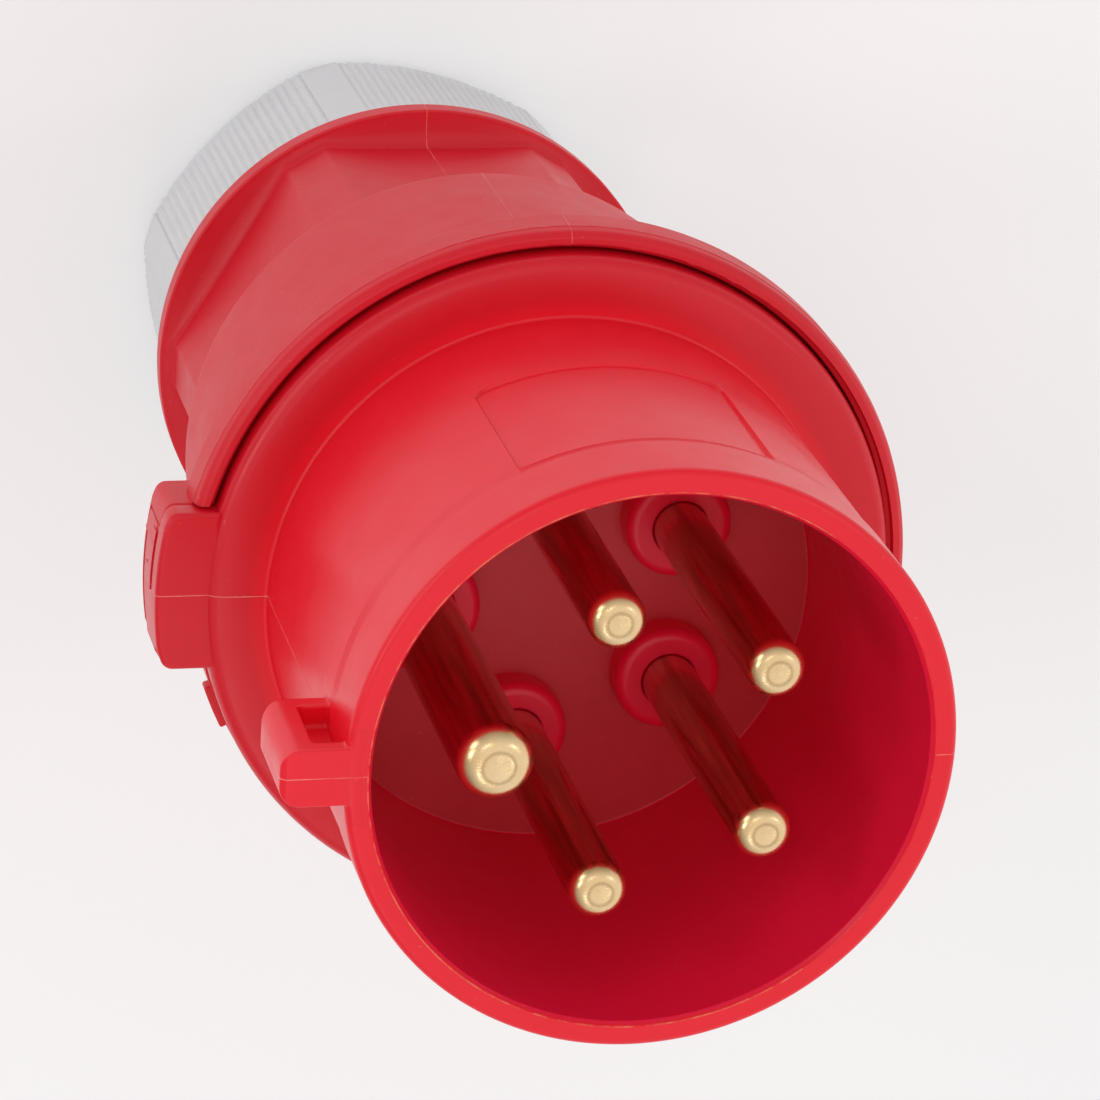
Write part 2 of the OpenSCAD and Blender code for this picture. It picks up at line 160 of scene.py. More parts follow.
def red_plastic(name, base=(238, 15, 37), alt=(243, 19, 42), rough=(0.33, 0.43), texture=0.35, brushed=0.0, seam=None,
                flash=False, painted_well_glow=None):
    """seam: the axis ("x" or "y") whose zero plane is the mould's parting plane; its witness line is paler."""
    n = Nodes(name)
    broad = n.noise(38.0, 2.0, 0.5)
    fine = n.noise(420.0, 4.0, 0.6)
    mott = n.remap(n.math("ADD", n.math("MULTIPLY", broad, 0.7), n.math("MULTIPLY", fine, 0.3)), 0.35, 0.65, 0.0, 1.0)
    colour = n.mix(mott, rgb(*base), rgb(*alt))
    if painted_well_glow:
        # painted light: a more crimson tone inside the shroud stands in for the glow of light through the plastic in
        # the shaded well
        r, a, z = n.polar()
        painted_glow_mask = n.math("MULTIPLY", n.math("LESS_THAN", r, 0.02895), n.math("GREATER_THAN", z, (Z0 - 46.0) / 1000))
        colour = n.mix(painted_glow_mask, colour, rgb(*painted_well_glow))
        # painted shade: a darker tone on the cove, the flange and the lock block, standing in for the shade that falls
        # there
        painted_shade_mask = n.math("MULTIPLY", n.remap(r, 0.0317, 0.0337, 0.0, 1.0), n.math("LESS_THAN", z, (Z0 - 42.0) / 1000))
        colour = n.mix(painted_shade_mask, colour, rgb(219, 17, 38))
    # sparse pale specks
    speck = n.remap(n.noise(1500.0, 1.0, 0.5), 0.76, 0.80, 0.0, 0.35)
    colour = n.mix(speck, colour, rgb(236, 110, 104))
    if seam:
        s = n.add("ShaderNodeSeparateXYZ", {"Vector": n.co}).outputs
        r, a, z = n.polar()
        if seam == "y":
            behind = n.math("MULTIPLY", n.math("LESS_THAN", z, (Z0 - 12.9) / 1000), n.math("GREATER_THAN", s[0], 0.0))
            off = n.math("ABSOLUTE", n.math("ADD", s[1], n.math("MULTIPLY", behind, 0.00055)))
            width = n.remap(n.noise(900.0, 2.0, 0.5), 0.3, 0.7, 0.00003, 0.00007)
            outside = n.math("GREATER_THAN", r, 0.0292)
        else:
            off = n.math("ABSOLUTE", s[0])
            width = n.remap(n.noise(900.0, 2.0, 0.5), 0.3, 0.7, 0.00002, 0.00005)
            outside = n.math("GREATER_THAN", r, 0.0262)
        line = n.math("MULTIPLY", n.math("LESS_THAN", off, width), outside)
        line = n.math("MULTIPLY", line, n.remap(n.noise(160.0, 2.0, 0.5), 0.35, 0.6, 0.25, 0.8))
        if seam == "x":
            # witness line round the rim
            ring = n.math("LESS_THAN", n.math("ABSOLUTE", n.math("SUBTRACT", z, (Z0 - 49.08) / 1000)), 0.00006)
            ring = n.math("MULTIPLY", ring, n.math("GREATER_THAN", r, 0.0403))
            ring = n.math("MULTIPLY", ring, n.remap(n.noise(420.0, 3.0, 0.6), 0.42, 0.62, 0.0, 0.55))
            line = n.math("MAXIMUM", line, ring)
        colour = n.mix(line, colour, rgb(246, 150, 138))
    if flash:
        colour = n.mix(n.remap(n.noise(620.0, 3.0, 0.65), 0.40, 0.60, 0.0, 1.0), colour, rgb(246, 112, 84))
    n.link(colour, "Base Color")
    n.link(n.remap(n.noise(150.0, 3.0, 0.6), 0.3, 0.7, rough[0], rough[1]), "Roughness")
    grain = n.noise(2600.0, 3.0, 0.65)
    peel = n.noise(240.0, 2.0, 0.5)
    nrm = n.bump(grain, 0.25 * texture, 0.00006)
    nrm = n.bump(peel, 0.12, 0.00008, nrm)
    if brushed:
        lines = n.noise(1.0, 3.0, 0.6, co=n.scaled(3200.0, 160.0, 160.0))
        cross = n.noise(1.0, 3.0, 0.6, co=n.scaled(200.0, 2600.0, 200.0))
        nrm = n.bump(n.math("ADD", lines, n.math("MULTIPLY", cross, 0.7)), brushed, 0.00005, nrm)
    n.link(nrm, "Normal")
    n.set(spec=0.40, ior=1.5, sss=0.14, sss_scale=0.0015, sss_radius=(1.0, 0.16, 0.12))
    return n.m


# the front shell's plastic carries a painted crimson glow inside the well and painted shade on the cove, the flange and
# the lock block
M_RED = red_plastic("red_plastic", base=(240, 19, 41), alt=(245, 23, 46), rough=(0.28, 0.38), seam="y", painted_well_glow=(245, 24, 66))
M_RED_REAR = red_plastic("red_plastic_rear", base=(217, 17, 37), alt=(223, 21, 42), rough=(0.38, 0.48), texture=0.25, seam="x")
M_FLOOR = red_plastic("red_plastic_spark_finish", base=(206, 47, 60), alt=(215, 56, 69), rough=(0.36, 0.46), texture=0.8, brushed=0.2)
M_FLASH = red_plastic("red_plastic_flash", rough=(0.34, 0.46), texture=0.6, flash=True)


def brass(name, cx, cy, z_tip, dish):
    """Turned brass: rings along the shank, radial scratches on the rounded tip; cx, cy, z_tip in metres."""
    n = Nodes(name)
    n.co = n.add("ShaderNodeMapping", {"Vector": n.co, "Location": (-cx, -cy, 0.0)}).outputs["Vector"]
    r, a, z = n.polar()
    tip = n.remap(z, z_tip - 0.0022, z_tip - 0.0012, 0.0, 1.0)
    crown = n.remap(z, z_tip - 0.0007, z_tip - 0.0002, 0.0, 1.0)
    ray = n.add("ShaderNodeCombineXYZ", {"X": n.math("MULTIPLY", n.math("COSINE", a), 13.0), "Y": n.math("MULTIPLY", n.math("SINE", a), 13.0),
                                         "Z": n.math("MULTIPLY", r, 420.0)}).outputs[0]
    scratch = n.noise(1.6, 4.0, 0.7, co=ray)
    fine = n.noise(1.0, 2.0, 0.6, co=n.scaled(260.0, 260.0, 9000.0))
    coarse = n.noise(1.0, 2.0, 0.6, co=n.scaled(60.0, 60.0, 2400.0))
    pits = n.noise(2600.0, 3.0, 0.7)
    tone = n.remap(n.noise(230.0, 3.0, 0.6), 0.3, 0.7, 0.0, 1.0)
    end_tone = n.mix(tone, (0.83, 0.57, 0.29, 1), (0.91, 0.69, 0.41, 1))
    # the dish's edge is a little darker
    edge = n.remap(n.math("ABSOLUTE", n.math("SUBTRACT", r, dish)), 0.00004, 0.0003, 0.75, 0.0)
    end_tone = n.mix(n.math("MULTIPLY", edge, n.remap(scratch, 0.3, 0.7, 0.5, 1.0)), end_tone, (0.42, 0.27, 0.13, 1))
    # painted shade and reflection: the shank is darker and redder than the tip for the shade and the red reflections in
    # the well, and its pale lengthwise streaks are painted reflections
    painted_reflection_streak = n.remap(n.noise(1.0, 3.0, 0.6, co=n.scaled(900.0, 900.0, 40.0)), 0.35, 0.65, 0.0, 1.0)
    shank_tone_with_painted_shade = n.mix(painted_reflection_streak, (0.46, 0.22, 0.15, 1), (0.80, 0.44, 0.30, 1))
    n.link(n.mix(tip, shank_tone_with_painted_shade, end_tone), "Base Color")
    rings = n.remap(coarse, 0.3, 0.7, 0.13, 0.24)
    ends = n.math("ADD", n.math("MULTIPLY", n.remap(scratch, 0.3, 0.7, -0.08, 0.10), crown), 0.25)
    n.link(n.math("ADD", n.math("MULTIPLY", ends, tip), n.math("MULTIPLY", rings, n.math("SUBTRACT", 1.0, tip))), "Roughness")
    h1 = n.math("MULTIPLY", n.math("ADD", fine, n.math("MULTIPLY", coarse, 0.6)), n.math("SUBTRACT", 1.0, tip))
    h2 = n.math("MULTIPLY", n.math("ADD", scratch, n.math("MULTIPLY", pits, 0.35)), n.math("MULTIPLY", crown, 1.5))
    n.link(n.bump(n.math("ADD", h1, h2), 0.28, 0.00003), "Normal")
    n.set(metal=1.0)
    return n.m


def grey_plastic(name):
    n = Nodes(name)
    mott = n.remap(n.noise(60.0, 3.0, 0.6), 0.3, 0.7, 0.0, 1.0)
    n.link(n.mix(mott, rgb(219, 219, 221), rgb(226, 226, 228)), "Base Color")
    n.link(n.remap(n.noise(180.0, 3.0, 0.6), 0.3, 0.7, 0.40, 0.52), "Roughness")
    n.link(n.bump(n.noise(2200.0, 3.0, 0.6), 0.10, 0.00005), "Normal")
    n.set(spec=0.45, ior=1.5, sss=0.06, sss_scale=0.001, sss_radius=(1.0, 0.95, 0.9))
    return n.m


def simple(name, a, b, rough, metal=0.0, scale=120.0, bump=0.1, spec=0.5):
    n = Nodes(name)
    n.link(n.mix(n.remap(n.noise(scale, 3.0, 0.6), 0.3, 0.7, 0.0, 1.0), rgb(*a), rgb(*b)), "Base Color")
    n.link(n.remap(n.noise(scale * 2.3, 3.0, 0.6), 0.3, 0.7, rough[0], rough[1]), "Roughness")
    n.link(n.bump(n.noise(scale * 14.0, 2.0, 0.6), bump, 0.00005), "Normal")
    n.set(metal=metal, spec=spec)
    return n.m


M_GREY = grey_plastic("grey_plastic")
M_RUBBER = simple("black_rubber", (24, 24, 25), (34, 34, 35), (0.55, 0.7), bump=0.3)
M_DARK = simple("dark_plastic", (46, 46, 48), (58, 58, 60), (0.4, 0.52))
M_CAGE = simple("dark_grey_nylon", (70, 70, 72), (82, 82, 84), (0.42, 0.55))
M_STEEL = simple("zinc_steel", (186, 188, 192), (206, 207, 208), (0.22, 0.36), metal=1.0, scale=300.0)

# ------------------------------------------------------------- mesh helpers


def new_object(name, verts, faces):
    me = bpy.data.meshes.new(name)
    me.from_pydata([tuple(map(float, v)) for v in verts], [], [tuple(map(int, f)) for f in faces])
    me.update()
    o = bpy.data.objects.new(name, me)
    scene.collection.objects.link(o)
    return o


def arc_pts(c, r, a0, a1, n):
    t = np.radians(np.linspace(a0, a1, n + 1))
    return [(c[0] + r * math.cos(x), c[1] + r * math.sin(x)) for x in t]


def rounded(points, step=12.0, closed=False, guard=0.12):
    """Points (r, z[, radius]) to a polyline with the corners rounded and a guard point each side of every curve."""
    pts = [(p[0], p[1], p[2] if len(p) > 2 else 0.0) for p in points]
    out = []
    n = len(pts)
    for i, (x, y, rad) in enumerate(pts):
        if not closed and i in (0, n - 1):
            out.append((x, y))
            continue
        p = np.array((x, y), float)
        a = np.array(pts[i - 1][:2], float) - p
        b = np.array(pts[(i + 1) % n][:2], float) - p
        la, lb = np.linalg.norm(a), np.linalg.norm(b)
        a /= la
        b /= lb
        ang = math.acos(max(-1, min(1, float(a @ b))))
        turn = math.pi - ang
        if rad <= 0 or turn < 1e-4:
            g = min(guard, la * 0.3, lb * 0.3)
            if turn > math.radians(8) and g > 0.02:
                out += [tuple(p + a * g), (x, y), tuple(p + b * g)]
            else:
                out.append((x, y))
            continue
        t = min(rad * math.tan(turn / 2), 0.48 * la, 0.48 * lb)
        rad = t / math.tan(turn / 2)
        s, e = p + a * t, p + b * t
        bis = (a + b) / np.linalg.norm(a + b)
        c = p + bis * (rad / math.cos(turn / 2))
        k = max(2, int(math.ceil(math.degrees(turn) / step)))
        v0, v1 = s - c, e - c
        a0, a1 = math.atan2(v0[1], v0[0]), math.atan2(v1[1], v1[0])
        d = (a1 - a0 + math.pi) % (2 * math.pi) - math.pi
        ga, gb = min(guard, (la - t) * 0.3), min(guard, (lb - t) * 0.3)
        if ga > 0.02:
            out.append(tuple(s + a * ga))
        for j in range(k + 1):
            w = a0 + d * j / k
            out.append((c[0] + rad * math.cos(w), c[1] + rad * math.sin(w)))
        if gb > 0.02:
            out.append(tuple(e + b * gb))
    return out


def fill(poly, longest, closed=False):
    """Splits long stretches of a polyline so that no step is longer than longest (a number or a function of the point)."""
    out = []
    n = len(poly)
    for i in range(n if closed else n - 1):
        a, b = np.array(poly[i]), np.array(poly[(i + 1) % n])
        out.append(tuple(a))
        lim = longest((a + b) / 2) if callable(longest) else longest
        k = int(math.ceil(np.linalg.norm(b - a) / lim))
        for j in range(1, k):
            out.append(tuple(a + (b - a) * j / k))
    if not closed:
        out.append(tuple(poly[-1]))
    return out


def angle_lines(step, clusters=()):
    """Sorted angles in degrees round the full circle; clusters is [(centre, offsets)], and base lines too near a cluster go."""
    extra = sorted({round((c + o + 180) % 360 - 180, 5) for c, offs in clusters for o in offs})
    base = np.arange(-180, 180, step)
    keep = [a for a in base if all(abs((a - e + 180) % 360 - 180) > 0.35 * step for e in extra)]
    return np.array(sorted(set(keep) | set(extra)))


def grid_mesh(name, R, Z, A, closed_profile=False):
    """R and Z are (rows, angles) arrays; a row whose radius is 0 becomes one vertex."""
    rows, cols = R.shape
    rad = np.radians(A)
    verts, index = [], np.zeros((rows, cols), int)
    for i in range(rows):
        if np.all(R[i] < 1e-9):
            index[i] = len(verts)
            verts.append((0.0, 0.0, float(Z[i, 0])))
        else:
            index[i] = np.arange(len(verts), len(verts) + cols)
            verts.extend(zip(R[i] * np.cos(rad), R[i] * np.sin(rad), Z[i]))
    faces = []
    last = rows if closed_profile else rows - 1
    for i in range(last):
        k = (i + 1) % rows
        a, b = index[i], index[k]
        for j in range(cols):
            m = (j + 1) % cols
            f = [a[j], b[j], b[m], a[m]]
            f = [v for q, v in enumerate(f) if v != f[q - 1]]
            if len(f) > 2:
                faces.append(f)
    o = new_object(name, verts, faces)
    bm = bmesh.new()
    bm.from_mesh(o.data)
    bmesh.ops.recalc_face_normals(bm, faces=bm.faces)
    bm.to_mesh(o.data)
    bm.free()
    return o


def lathe(name, profile, step=3.0, closed=False, at=(0, 0), lines=None):
    A = np.arange(-180, 180, step) if lines is None else lines
    P = np.array(profile)
    o = grid_mesh(name, np.repeat(P[:, :1], len(A), 1), np.repeat(P[:, 1:], len(A), 1), A, closed)
    o.data.transform(Matrix.Translation((at[0], at[1], 0)))
    return o


def prism(name, outline, z0, z1):
    n = len(outline)
    verts = [(x, y, z0) for x, y in outline] + [(x, y, z1) for x, y in outline]
    faces = [tuple(range(n))[::-1], tuple(range(n, 2 * n))] + [(i, (i + 1) % n, n + (i + 1) % n, n + i) for i in range(n)]
    o = new_object(name, verts, faces)
    bm = bmesh.new()
    bm.from_mesh(o.data)
    bmesh.ops.recalc_face_normals(bm, faces=bm.faces)
    bm.to_mesh(o.data)
    bm.free()
    return o


def turned(o, matrix):
    o.data.transform(matrix)
    return o


def box_mm(name, x0, x1, y0, y1, z0, z1):
    return prism(name, [(x0, y0), (x1, y0), (x1, y1), (x0, y1)], z0, z1)


def cylinder(name, r, z0, z1, at=(0, 0), n=64):
    t = np.linspace(0, 2 * np.pi, n, endpoint=False)
    return prism(name, [(at[0] + r * math.cos(a), at[1] + r * math.sin(a)) for a in t], z0, z1)


def sector(name, r0, r1, z0, z1, centre, width, n=24):
    t = np.radians(np.linspace(centre - width / 2, centre + width / 2, n + 1))
    outline = [(r1 * math.cos(a), r1 * math.sin(a)) for a in t] + [(r0 * math.cos(a), r0 * math.sin(a)) for a in t[::-1]]
    return prism(name, outline, z0, z1)


def apply_modifiers(o):
    dg = bpy.context.evaluated_depsgraph_get()
    me = bpy.data.meshes.new_from_object(o.evaluated_get(dg))
    o.modifiers.clear()
    old = o.data
    o.data = me
    bpy.data.meshes.remove(old)
    return o


def boolean(a, b, op, solver="MANIFOLD"):
    m = a.modifiers.new("cut", "BOOLEAN")
    m.operation = op
    m.solver = solver
    m.object = b
    apply_modifiers(a)
    bpy.data.objects.remove(b)
    return a


def bevel(o, width, segments=3, angle=30.0):
    m = o.modifiers.new("bevel", "BEVEL")
    m.width = width
    m.segments = segments
    m.limit_method = "ANGLE"
    m.angle_limit = math.radians(angle)
    m.use_clamp_overlap = True
    m.miter_outer = "MITER_ARC"
    return apply_modifiers(o)


def place(o, body, slot, *nodes, mats, pick=None, smooth=32.0, weighted=True):
    """Moves a drawn mesh to the frame, shades it, gives it its materials and makes it stand for its nodes."""
    me = o.data
    bm = bmesh.new()
    bm.from_mesh(me)
    bmesh.ops.remove_doubles(bm, verts=bm.verts, dist=0.0006)
    bmesh.ops.dissolve_degenerate(bm, edges=bm.edges, dist=0.0004)
    bm.to_mesh(me)
    bm.free()
    me.materials.clear()
    for m in mats:
        me.materials.append(m)
    if pick is not None:
        for p in me.polygons:
            p.material_index = pick(p.center, p.normal, p.area)
    else:
        for p in me.polygons:
            p.material_index = 0
    me.transform(Matrix.Scale(0.001, 4) @ Matrix.Translation((0, 0, Z0)))
    me.shade_smooth()
    me.set_sharp_from_angle(angle=math.radians(smooth))
    if weighted:
        w = o.modifiers.new("normals", "WEIGHTED_NORMAL")
        w.keep_sharp = True
        w.weight = 50
    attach(o, body)
    if nodes:
        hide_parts(*nodes)
    return o


def smoothstep(a, b, x):
    t = np.clip((x - a) / (b - a), 0, 1)
    return t * t * (3 - 2 * t)


def wrap(a):
    return (a + 180.0) % 360.0 - 180.0


def band_noise(A, seed, harmonics, power=1.0):
    """Seeded noise round the circle, about -1 to 1."""
    rng = np.random.default_rng(seed)
    out = np.zeros_like(A)
    for h in harmonics:
        out += math.pow(h, -power) * np.cos(np.radians(A) * h + rng.uniform(0, 2 * np.pi)) * rng.uniform(0.5, 1.0)
    return out / max(1e-9, np.abs(out).max())


# ---------------------------------------------------------- sizes in mm
SO, SI = 31.5, 28.75
ZF, ZU = -44.6, -48.6
MOUTH = -0.08                # the rim's face, under the flash
FR, RR, BR, CR = 38.1, 40.6, 33.2, 31.6
PIN_R, EARTH_R = 15.35, 15.8
PINS = [("earth", 0.0, EARTH_R, 4.0, 6.0, -0.9), ("l1", -73.7, PIN_R, 3.0, 5.2, -1.5), ("l2", -144.5, PIN_R, 3.0, 5.2, -1.5),
        ("l3", 144.5, PIN_R, 3.0, 5.2, -1.5), ("neutral", 73.7, PIN_R, 3.0, 5.2, -1.5)]
LOCK_A, LOCK_B, LOCK_R = -9.9, 8.1, 43.3
SEAM = [0, -0.05, 0.05, -0.1, 0.1, -0.17, 0.17, -0.3, 0.3, -0.5, 0.5, -0.8, 0.8, -1.25, 1.25, -1.95, 1.95]


def pin_at(a, r):
    return (r * math.cos(math.radians(a)), r * math.sin(math.radians(a)))


def lock_outline(x0):
    a, b = LOCK_A, LOCK_B
    pts = [(x0, a)] + arc_pts((41.1, a + 1.3), 1.3, -88, -16, 8)
    for y in np.linspace(a + 1.6, b - 2.2, 16):
        pts.append((math.sqrt((LOCK_R + 0.1) ** 2 - y * y), y))
    pts += arc_pts((41.2, b - 1.4), 1.4, 14, 88, 7) + [(x0, b)]
    return [(x, y) if math.hypot(x, y) <= LOCK_R + 0.1 else (x * (LOCK_R + 0.1) / math.hypot(x, y), y * (LOCK_R + 0.1) / math.hypot(x, y))
            for x, y in pts]


# ------------------------------------------------------------- front shell
def build_front_shell():
    label_c, label_half = -89.2, 24.75
    edge = [-0.6, -0.38, -0.24, -0.14, -0.06, 0.0, 0.06, 0.14, 0.24, 0.38, 0.6]
    inner = [-2.1, -1.4, -0.92, 0.85, 1.1, 1.4, 1.7, 2.0, 2.35, 2.7, 3.1, 3.6, 4.3, 5.2]
    A = angle_lines(1.25, [(-1.0, SEAM), (-0.83, SEAM[:7]), (180, SEAM),
                           (label_c - label_half, edge + inner), (label_c + label_half, edge + [-x for x in inner])])
    outline = [(0, ZF), (28.5, ZF, 0.25), (SI - 0.02, -0.62, 0.15), (29.06, MOUTH - 0.03, 0.05)]
    part1 = rounded(outline + [(29.09, MOUTH)])
    flash = [(29.09, MOUTH), (29.12, MOUTH + 0.055), (29.19, MOUTH + 0.06), (29.24, MOUTH)]
    rest = rounded([(29.24, MOUTH), (SO, MOUTH, 0.85), (SO, -8.2, 1.5), (SO - 0.2, -10.8, 1.5), (SO - 0.1, -43.3), (SO - 0.1, -45.5, 0.38),
                    (SO + 1.2, -45.5)], step=9)[:-1]
    bead = [(SO + 1.4, -45.5), (33.9, -45.505), (34.6, -45.515), (35.3, -45.54), (36.0, -45.585)] + arc_pts((FR - 1.65, -47.3), 1.65, 84, 0, 12)
    tail = rounded([(FR, -47.3), (FR, -49.9, 0.25), (FR - 0.4, -50.2, 0.1), (FR - 0.4, -50.6, 0.1), (FR + 0.2, -51.0, 0.2),
                    (FR + 0.2, -53.1, 0.2), (FR - 0.3, -53.5, 0.2), (FR - 2.9, -53.5, 0.2), (FR - 2.9, ZU - 1, 0.2), (FR - 3.9, ZU, 0.3), (0, ZU)])
    prof = part1[:-1] + flash + rest[1:] + bead + tail
    z_label = -31.7

    def lim(p):
        if p[0] > 30.5 and -31.9 < p[1] < -31.4 + 2.2:
            return 0.18
        if p[0] > 30.5 and p[1] < -9 and p[1] > -44:
            return 1.8
        return 5.0 if p[0] < 28.8 and p[1] > -44 else 2.4
    prof = fill(prof, lim)
    # rows that follow the label's rear edge
    zs = [z_label + d for d in (-0.3, -0.18, -0.1, -0.05, 0.0, 0.05, 0.1, 0.16, 0.22, 0.3, 0.4, 0.52, 0.66, 0.82, 1.0, 1.2, 1.42, 1.66, 1.95)]
    out = []
    for p, q in zip(prof, prof[1:]):
        out.append(p)
        if p[0] > 30.5 and q[0] > 30.5 and q[1] < p[1] and p[1] < -9:
            for z in sorted(zs, reverse=True):
                if q[1] + 0.02 < z < p[1] - 0.02:
                    f = (p[1] - z) / (p[1] - q[1])
                    out.append((p[0] + (q[0] - p[0]) * f, z))
    out.append(prof[-1])
    P = np.array(out)
    R = np.repeat(P[:, :1], len(A), 1)
    Z = np.repeat(P[:, 1:], len(A), 1)
    AA = np.repeat(A[None, :], len(P), 0)
    on_wall = (R > 30.9) & (Z < -9.3) & (Z > -44.6)
    # recess for the label
    s = np.radians(wrap(AA - label_c)) * 31.4
    half = math.radians(label_half) * 31.4
    cr = 1.7
    dx = np.abs(s) - half
    dz = z_label - Z
    qx, qz = dx + cr, dz + cr
    sd = np.where((qx > 0) & (qz > 0), np.hypot(np.maximum(qx, 0), np.maximum(qz, 0)) - cr, np.maximum(dx, dz))
    front = Z + 9.55
    sd = np.maximum(sd, front)
    depth = 0.42 * smoothstep(0.09, -0.09, sd)
    R = np.where(on_wall, R - depth, R)
    # parting lines on the shroud, the cove and the flange
    seam = np.exp(-((np.sin(np.radians(AA)) * R + 0.55) / 0.06) ** 2) * (np.abs(AA) < 20) \
        + np.exp(-(np.radians(np.abs(wrap(AA - 180))) * 31.5 / 0.06) ** 2)
    amp = 0.045 * (1 + 0.4 * np.cos(Z * 1.7) * np.cos(Z * 0.61))
    skirt = (R > 30.9) & (Z < -0.9) & (Z > -45.1)
    R = np.where(skirt, R + amp * seam, R)
    face = (R > 31.45) & (Z < -45.3) & (Z > -47.2)
    Z = np.where(face, Z + 0.045 * seam, Z)
    side = (R > FR - 0.1) & (Z < -46.9) & (Z > -50)
    R = np.where(side, R + 0.03 * seam, R)
    # slightly uneven flash at the mouth's inner edge
    ridge = (np.abs(R - 29.155) < 0.06) & (Z > MOUTH + 0.02)
    wob = band_noise(A, 3, range(20, 150, 3), 0.3)
    Z = np.where(ridge, np.minimum(MOUTH + (Z - MOUTH) * (0.75 + 0.6 * wob[None, :]), -0.002), Z)
    o = grid_mesh("front_shell_body", R, Z, A)

    # lock block, front tier
    lug = prism("lug", lock_outline(FR - 1.6), -48.9, -46.2)
    bevel_top(lug, 0.6, -46.2)
    boolean(o, lug, "UNION")
    # bayonet lugs and the stop in the window
    for a in (150, 240, 330):
        boolean(o, bevel(sector("bayonet", FR - 1.2, FR + 0.75, -53.2, -51.3, a, 24), 0.15, 2, 40), "UNION")
    boolean(o, bevel(sector("stop", FR - 1.2, FR + 0.88, -53.3, -51.2, 22.6, 7.6, 10), 0.25, 3, 40), "UNION")
    # collars round the pins
    for name, a, r, pr, term, tip in PINS:
        ro = 6.9 if name == "earth" else 5.85
        prof_c = rounded([(0, ZF - 1.0), (ro, ZF - 1.0), (ro, ZF + 3.6, 1.15), (pr + 0.03, ZF + 3.6, 0.2), (pr + 0.03, ZF + 2.4), (0, ZF + 2.4)], step=9)
        boolean(o, lathe("collar", prof_c, 4.5, at=pin_at(a, r)), "UNION")
    for name, a, r, pr, term, tip in PINS:
        boolean(o, cylinder("hole", pr + 0.13, ZU - 1, ZF + 2.7, pin_at(a, r), 48), "DIFFERENCE")

    def pick(c, nrm, area):
        rr = math.hypot(c.x, c.y)
        if rr < 28.4 and ZF - 0.1 < c.z < ZF + 0.1:
            return 1
        if 29.07 < rr < 29.26 and c.z > MOUTH - 0.05 and abs(math.atan2(c.y, c.x)) < 2.2:
            return 2
        return 0
    return place(o, "housing", "red_plastic", "front_shell", mats=[M_RED, M_FLOOR, M_FLASH], pick=pick)


def bevel_top(o, width, z, segments=4):
    """Rounds the sharp edges that lie in the plane z."""
    bm = bmesh.new()
    bm.from_mesh(o.data)
    edges = [e for e in bm.edges if all(abs(v.co.z - z) < 1e-4 for v in e.verts)]
    bmesh.ops.bevel(bm, geom=edges, offset=width, segments=segments, profile=0.5, affect="EDGES", clamp_overlap=True)
    bm.to_mesh(o.data)
    bm.free()
    return o


def build_key():
    """The key with its two pockets; remeshed and relaxed so that every edge is round and its foot runs into the shroud."""
    plan = [(SO - 1.2, -3.05)] + arc_pts((35.9, -1.05), 2.0, -90, 0, 12) + arc_pts((35.9, 1.05), 2.0, 0, 90, 12) + [(SO - 1.2, 3.05)]
    side_p = [(SO - 1.2, -0.09), (SO - 1.2, -12.95)] + arc_pts((35.2, -9.75), 3.2, -90, 0, 14) + [(38.4, -0.9), (37.3, -0.09)]
    k = prism("key_moulding", plan, -14, 1)
    sp = prism("key_side", side_p, -4, 4)
    turned(sp, Matrix.Rotation(math.radians(90), 4, "X"))
    boolean(k, sp, "INTERSECT")
    for s_ in (-1, 1):
        y0, y1 = (0.6, 4.4) if s_ > 0 else (-4.4, -0.6)
        boolean(k, bevel(box_mm("pocket", 31.0, 34.5, y0, y1, -10.9, -2.0), 0.5, 4, 40), "DIFFERENCE")
    o1 = SO - 0.035
    ring = lathe("foot", rounded([(29.7, -16.0), (29.7, -0.03), (o1, -0.03, 0.86), (o1, -9.0, 0.5), (o1 - 0.2, -9.65, 0.5), (o1 - 0.1, -16.0)],
                                 step=8, closed=True), 1.5, closed=True)
    boolean(ring, box_mm("cutter", 20, 40, -5.2, 5.2, -15.5, 1), "INTERSECT")
    boolean(k, ring, "UNION")
    m = k.modifiers.new("remesh", "REMESH")
    m.mode = "VOXEL"
    m.voxel_size = 0.11
    apply_modifiers(k)
    m = k.modifiers.new("relax", "SMOOTH")
    m.factor = 0.5
    m.iterations = 9
    apply_modifiers(k)
    m = k.modifiers.new("fewer", "DECIMATE")
    m.ratio = 0.55
    apply_modifiers(k)
    return place(k, "housing", "red_plastic", mats=[M_RED], smooth=60.0, weighted=False)


# -------------------------------------------------------------- rear shell
def hex_r(A, apothem=27.25, trim=29.95, k=0.10):
    """Radius of the wrench flats with trimmed corners; k softens the edges."""
    a = np.radians((A % 60.0) - 30.0)
    flat = apothem / np.cos(a)
    b = np.radians((A + 30.0) % 60.0 - 30.0)
    cut = trim / np.cos(b)
    h = np.clip(0.5 + 0.5 * (cut - flat) / k, 0, 1)
    return cut * (1 - h) + flat * h - k * h * (1 - h)


